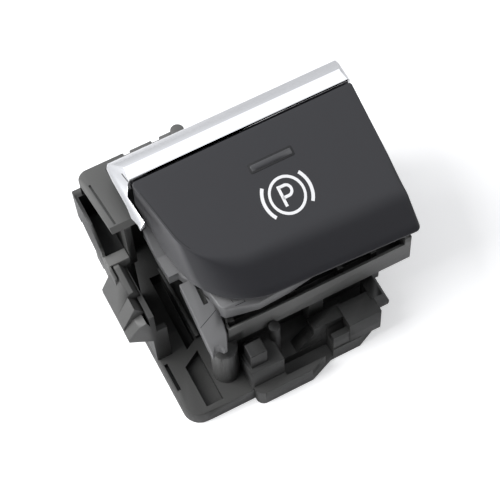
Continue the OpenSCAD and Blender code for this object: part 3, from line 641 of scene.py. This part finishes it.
def key_outline(front, corner, inset):
    """The key from above: back and right side are straight, left side and front slant in to the corner.

    front is the Y of the front edge at the right, corner the radius at the front left, all in mm."""
    left = KEY_LEFT + TRIM_ROOM + inset
    high, low = KEY_BACK + BACK_OVERLAP - inset, front + inset
    left_bend = np.array([left + LEFT_SLANT, low + corner + FRONT_SLANT])
    front_bend = np.array([left + LEFT_SLANT + corner, low + FRONT_SLANT])
    back_left = np.array([left, high])
    front_right = np.array([KEY_RIGHT - inset, low])
    d1, d2 = left_bend - back_left, front_bend - front_right
    s = np.linalg.solve(np.column_stack([d1, -d2]), front_right - back_left)[0]
    front_left = back_left + d1 * s
    return loop([back_left, front_left, front_right, (KEY_RIGHT - inset, high)],
                [0.5, corner, 1.0, 0.5], [7, 49, 9, 7], [14, 26, 16, 30])


TOP_FRONT, TOP_CORNER = -9.15, 12.2
LIP_FRONT, UNDER_FRONT, LIP_CORNER = -15.0, -14.5, 14.3
edge_line = key_outline(TOP_FRONT, TOP_CORNER, 0.1)
lip_line = key_outline(LIP_FRONT, LIP_CORNER, 0.0)
under_line = key_outline(UNDER_FRONT, LIP_CORNER, 0.35)
inner_low = key_outline(UNDER_FRONT, LIP_CORNER, 1.6)
inner_high = key_outline(-9.5, 12.4, 2.0)
print("points round the key:", len(edge_line))

# %% [markdown]
# The crease radius is 1.8 mm along the front and only 0.3 mm along the sides and back, as the photograph
# shows. Each rounding is a quadratic curve: its middle control point is the sharp edge itself.

# %% Rows of the key
LOW_FRONT, LOW_RISE = 27.2, 5.8
RISE_START, RISE_LENGTH = 3.0, 8.3
LIP_HEIGHT, LIP_THICKNESS = 28.2, 0.8
CREASE_SIDE, CREASE_FRONT = 0.3, 1.8
LIP_BEND = 0.5
TOP_WALL = 1.8


def lower_height(y):
    """Lower edge of the key: level at the front, then rising in a line to 33 mm at the back."""
    return LOW_FRONT + np.clip((y - RISE_START) / RISE_LENGTH, 0, 1) * LOW_RISE


def bend(a, b, c, steps):
    """Quadratic curve from a to c with b as control point, one row of points for each step."""
    t = np.linspace(0, 1, steps)[:, None, None]
    return (1 - t) ** 2 * a + 2 * t * (1 - t) * b + t ** 2 * c


def lift(line, height):
    return np.column_stack([line, height])


def towards(line, height, share):
    """The line moved by a share of the way to one point in its middle, which lies at the height given."""
    return line + (np.array([*MIDDLE, height]) - line) * share


MIDDLE = np.array([2.0, 1.5])
sharp = lift(edge_line, top_height(edge_line[:, 1]))
lip = lift(lip_line, np.maximum(LIP_HEIGHT, lower_height(lip_line[:, 1]) + LIP_THICKNESS))
under = lift(under_line, lower_height(under_line[:, 1]))
# one along the front, zero along the left side and the back, with a gradual change at the corner
front_part = np.clip((-edge_line[:, 1] - 1.0) / 6.0, 0, 1) * np.clip((edge_line[:, 0] + 19.5) / 9, 0, 1)
eased = front_part ** 2 * (3 - 2 * front_part)
crease = (CREASE_SIDE + (CREASE_FRONT - CREASE_SIDE) * eased)[:, None]
inward = key_outline(TOP_FRONT, TOP_CORNER, 1.1) - edge_line
inward /= np.linalg.norm(inward, axis=1, keepdims=True)
rim_line = edge_line + inward * crease
rim = lift(rim_line, top_height(rim_line[:, 1]))
down = (lip - sharp) / np.linalg.norm(lip - sharp, axis=1, keepdims=True)
side_high, side_low = sharp + down * crease, lip - down * LIP_BEND
rows = [towards(rim, top_height(MIDDLE[1]), share) for share in (0.999, 0.75, 0.5, 0.25, 0.08)]
rows += list(bend(rim, sharp, side_high, 9))
rows += [side_high + (side_low - side_high) * share for share in (0.25, 0.5, 0.75)]
rows += list(bend(side_low, lip, under, 6))
inner_edge = lift(inner_low, lower_height(under_line[:, 1]))
ceiling = lift(inner_high, top_height(inner_high[:, 1]) - TOP_WALL)
rows += [inner_edge, inner_edge + (ceiling - inner_edge) * 0.5, ceiling]
rows += [towards(ceiling, top_height(MIDDLE[1]) - TOP_WALL, share) for share in (0.5, 0.999)]
grid = np.array(rows)
print("key grid:", grid.shape)


# %% Skin over a grid
def skin(name, grid, material, body):
    """Turns a grid of points into quads, each row closed on itself, with a cap on the first and last row."""
    here = np.arange(grid.shape[0] * grid.shape[1]).reshape(grid.shape[:2])
    following = np.roll(here, -1, 1)
    quads = np.stack([here[:-1], here[1:], following[1:], following[:-1]], -1).reshape(-1, 4)
    faces = quads.tolist() + [here[0].tolist(), here[-1][::-1].tolist()]
    thing = mesh_object(name, grid, faces)
    thing.data.materials.append(material)
    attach(thing, body)
    return thing


key = skin("key_cap_skin", grid, key_black, "key_body")
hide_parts("key_cap")

# %% [markdown]
# ## The window and the sign
# The bar window is smoked plastic set flush, with a dark hairline round it: painted shade in the gap. The
# sign
# is the standard one for a parking brake: a P in a ring between two arcs. It is printed ink, a few hundredths
# of a millimetre thick, so each stroke is a thin strip: a path with a width, laid on the slope of the top.

# %% Window
def on_top(points, above):
    """Lays points of the plan on the key's top, a small height above it."""
    points = np.asarray(points, float)
    return lift(points, top_height(points[:, 1]) + above)


SLAB_BEVEL = 0.01
SLAB_SHRINK = 0.992


def slab(name, outline, above, below, material, body):
    """A thin plate on the key's top: the outline at its lower and its upper height, with caps on both."""
    centre = outline.mean(0)
    soft = centre + (outline - centre) * SLAB_SHRINK
    grid = np.array([on_top(outline, below), on_top(outline, above - SLAB_BEVEL), on_top(soft, above)])
    return skin(name, grid[::-1], material, body)


def bar(x0, y0, x1, y1, radius):
    """Outline of a bar with four equal corner radii."""
    return loop([(x0, y0), (x1, y0), (x1, y1), (x0, y1)], [radius] * 4, [4] * 4, [8, 2, 8, 2])


window = bar(-0.83, 4.97, 7.23, 6.03, 0.15)
frame_line = bar(-1.2, 4.6, 7.6, 6.4, 0.3)
# painted shade: a dark hairline for the gap round the window
slab("window_hairline", frame_line, 0.06, -0.2, gap_black, "key_body")
lens = slab("window_lens", window, 0.075, -0.25, smoked_lens, "key_body")
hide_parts("indicator_lens")

# %% Sign
INK_FOOT = -0.03


def stroke(path, width, closed, place, above):
    """A strip along a path in the plan: each point moved half the width to both sides, across the path."""
    path = np.asarray(path, float)
    ahead = np.roll(path, -1, 0) - np.roll(path, 1, 0) if closed else np.gradient(path, axis=0)
    ahead /= np.linalg.norm(ahead, axis=1, keepdims=True)
    across = np.column_stack([-ahead[:, 1], ahead[:, 0]]) * width / 2
    n = len(path)
    upper = np.vstack([place(path - across, above), place(path + across, above)])
    lower = np.vstack([place(path - across, INK_FOOT), place(path + across, INK_FOOT)])
    i = np.arange(n if closed else n - 1)
    j = (i + 1) % n
    top = np.stack([i, j, j + n, i + n], -1)
    under = 2 * n
    bottom, low_side = top[:, ::-1] + under, np.stack([i + under, j + under, j, i], -1)
    high_side = np.stack([i + n, j + n, j + n + under, i + n + under], -1)
    faces = np.vstack([top, bottom, low_side, high_side]).tolist()
    if not closed:
        faces += [[0, n, n + under, under], [n - 1, n - 1 + under, 2 * n - 1 + under, 2 * n - 1]]
    return np.vstack([upper, lower]), faces


def lay(name, lines, material, place=on_top, above=0.03):
    """Joins strokes into one object that rides with the key."""
    points, faces, count = [], [], 0
    for line, width, closed in lines:
        p, f = stroke(line, width, closed, place, above)
        points.append(p)
        faces += [[k + count for k in face] for face in f]
        count += len(p)
    thing = mesh_object(name, np.vstack(points), faces, False)
    thing.data.materials.append(material)
    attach(thing, "key_body")
    print(name, "points:", count)


def arc(centre, radius, start, end, steps):
    a = np.radians(np.linspace(start, end, steps))
    return np.column_stack([centre[0] + radius * np.cos(a), centre[1] + radius * np.sin(a)])


RING = (3.0, -1.0)
RING_RADIUS, RING_WIDTH = 3.2, 0.5
ARC_RADIUS, ARC_WIDTH, ARC_HALF = 4.55, 0.62, 37
STEM_WIDTH, BOWL_WIDTH = 0.56, 0.52
STEM_X = 2.05
bowl = arc((3.2, -0.25), 0.95, -90, 90, 24)
letter = np.vstack([[(STEM_X, -1.2)], bowl, [(STEM_X, 0.7)]])
stem = [(STEM_X, -2.75), (STEM_X, -0.9), (STEM_X, 0.98)]
lay("parking_brake_sign", [
    (arc(RING, RING_RADIUS, 0, 357.5, 144), RING_WIDTH, True),
    (arc(RING, ARC_RADIUS, 180 - ARC_HALF, 180 + ARC_HALF, 48), ARC_WIDTH, False),
    (arc(RING, ARC_RADIUS, -ARC_HALF, ARC_HALF, 48), ARC_WIDTH, False),
    (stem, STEM_WIDTH, False),
    (letter, BOWL_WIDTH, False)], white_ink)

# %% [markdown]
# Fine dark lines are painted shade in narrow gaps and grooves of the moulded pieces: along the crease at the
# left edge of the key's top, where the wing meets the strip, along a parting seam across the cheek, and round
# the outline of a small raised square on the ledge.

# %% Fine lines
def on_cheek(points, above):
    points = np.asarray(points, float)
    return lift(points, 26 + 0.5588 * (points[:, 1] + 2.8) + above)


def on_ledge(points, above):
    points = np.asarray(points, float)
    return lift(points, 26.6 + np.minimum(points[:, 1] + 11, 0) * 0.933 + above)


def on_facet(points, above):
    points = np.asarray(points, float)
    return lift(points, 41.05 + points[:, 0] + 21.4 + 0.095 * (points[:, 1] - 12.2) + above)


LINE_ABOVE = 0.015

# painted shade along the crease at the left edge of the key's top
crease_shade_line = rim_line[8:34] + inward[8:34] * 0.05
lay("crease_painted_shade", [(crease_shade_line, 0.13, False)], gap_black, above=0.012)
seam = [(-20.0, -10.35), (-18.3, -9.7), (-16.1, -8.85)]
lay("cheek_seam", [(seam, 0.09, False)], gap_black, on_cheek, LINE_ABOVE)
square = np.array([(-13.45, -10.2), (-13.25, -11.4), (-11.3, -11.45), (-11.57, -10.5)])
sides = [[a, (a + b) / 2, b] for a, b in zip(square, square[1:])]
lay("ledge_square", [(side, 0.08, False) for side in sides], gap_black, on_ledge, LINE_ABOVE)
slit = [(-21.72, 14.4), (-21.6, 13.4), (-21.45, 12.35)]
lay("wing_slit", [(slit, 0.12, False)], gap_black, on_facet, LINE_ABOVE)

# %% [markdown]
# ## Pieces kept from the CAD model
# The small pieces inside have the right shape already. Each keeps its mesh and gets its finish.

# %% Finishes for the kept pieces
finish = {
    "hinge_pins": drawn_steel, "return_spring": drawn_steel, "board_screws": drawn_steel,
    "panel_spring": spring_strip, "pull_plunger": natural_acetal, "push_plunger": natural_acetal,
    "switch_mat": silicone, "contact_pills": carbon, "circuit_board": board_green,
    "control_chip": chip_epoxy, "board_parts": ceramic, "indicator_lamp": lamp_resin,
    "symbol_lamp": lamp_resin, "indicator_light_guide": clear_guide, "symbol_light_guide": clear_guide,
    "connector_pins": gold_plate, "stop_buffers": buffer_rubber,
}
for node, material in finish.items():
    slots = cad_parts[node].data.materials
    slots.clear()
    slots.append(material)
print("kept pieces:", len(finish))
